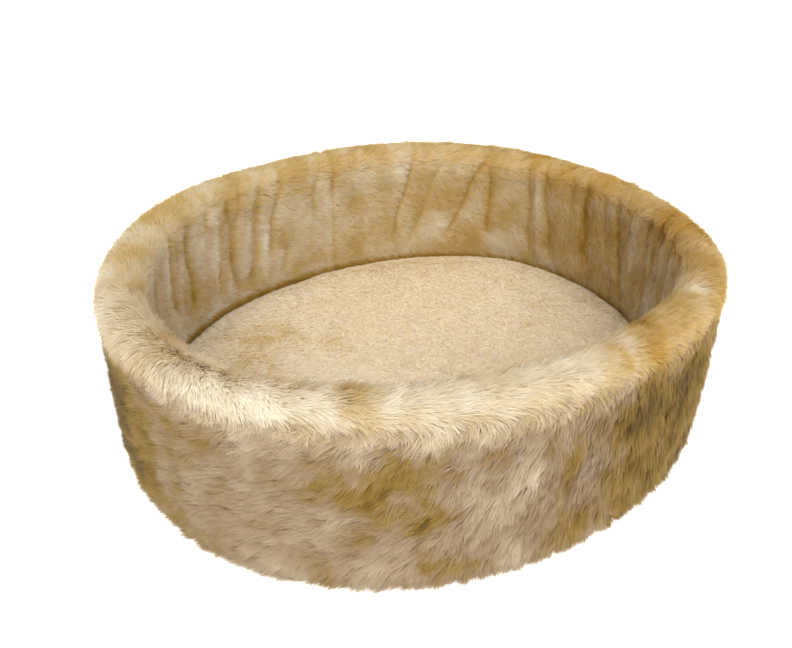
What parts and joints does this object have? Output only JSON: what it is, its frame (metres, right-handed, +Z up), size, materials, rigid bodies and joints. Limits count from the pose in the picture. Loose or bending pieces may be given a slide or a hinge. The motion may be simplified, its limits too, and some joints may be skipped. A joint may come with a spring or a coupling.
{
  "type": "plush pet bed",
  "caption": "Low oval pet bed: a padded wall covered in long pile plush, gathered on the inside, round a loose filled base cushion in short plush.",
  "frame": {"origin": "middle of the footprint, on the floor", "axes": "+X along the long way of the bed, +Y across it towards the seam in the wall's cover, +Z up"},
  "size_m": [0.6056, 0.5236, 0.1783],
  "materials": {
    "wall_plush": "long pile plush, tan at the root and cream at the tips",
    "cushion_plush": "short shorn plush, cream"
  },
  "bodies": {
    "root": {"wall": "wall_plush", "base_cushion": "cushion_plush"}
  },
  "joints": []
}
